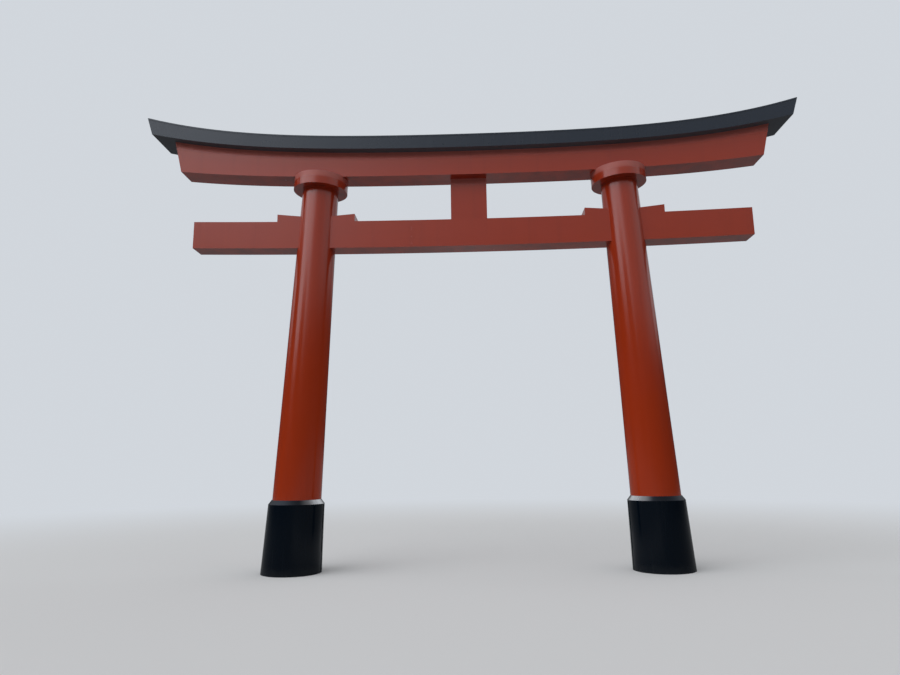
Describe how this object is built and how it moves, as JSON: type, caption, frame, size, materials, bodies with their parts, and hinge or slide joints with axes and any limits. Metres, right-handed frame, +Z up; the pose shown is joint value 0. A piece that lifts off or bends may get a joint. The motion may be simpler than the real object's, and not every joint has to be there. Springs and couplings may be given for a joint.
{
  "type": "torii gate",
  "caption": "Large shrine gate: inward-leaning tapered round pillars in black foot sleeves, wedged tie beam, centre strut, upswept double lintel with a black crown beam.",
  "frame": {"origin": "on the ground, midway between the two pillars and on the gate's centre plane", "axes": "+X along the gate to the right as seen in the picture, +Y away from the viewer through the gate, +Z up"},
  "size_m": [14.319, 1.207, 9.911],
  "materials": {
    "vermilion_lacquer": "glossy vermilion lacquer",
    "black_lacquer": "satin black lacquer",
    "black_sleeve": "gloss black, dusty at the ground"
  },
  "bodies": {
    "root": {"centre_strut": "vermilion_lacquer", "left_base_collar_back": "black_sleeve", "left_base_collar_front": "black_sleeve", "left_base_sleeve_back": "black_sleeve", "left_base_sleeve_front": "black_sleeve", "left_cap_disc": "vermilion_lacquer", "left_inner_wedge": "vermilion_lacquer", "left_outer_wedge": "vermilion_lacquer", "left_pillar": "vermilion_lacquer", "lower_lintel_centre": "vermilion_lacquer", "lower_lintel_left": "vermilion_lacquer", "lower_lintel_right": "vermilion_lacquer", "right_base_collar_back": "black_sleeve", "right_base_collar_front": "black_sleeve", "right_base_sleeve_back": "black_sleeve", "right_base_sleeve_front": "black_sleeve", "right_cap_disc": "vermilion_lacquer", "right_inner_wedge": "vermilion_lacquer", "right_outer_wedge": "vermilion_lacquer", "right_pillar": "vermilion_lacquer", "tie_beam_centre": "vermilion_lacquer", "tie_beam_left": "vermilion_lacquer", "tie_beam_right": "vermilion_lacquer", "top_lintel_centre": "black_lacquer", "top_lintel_left": "black_lacquer", "top_lintel_right": "black_lacquer"}
  },
  "joints": []
}
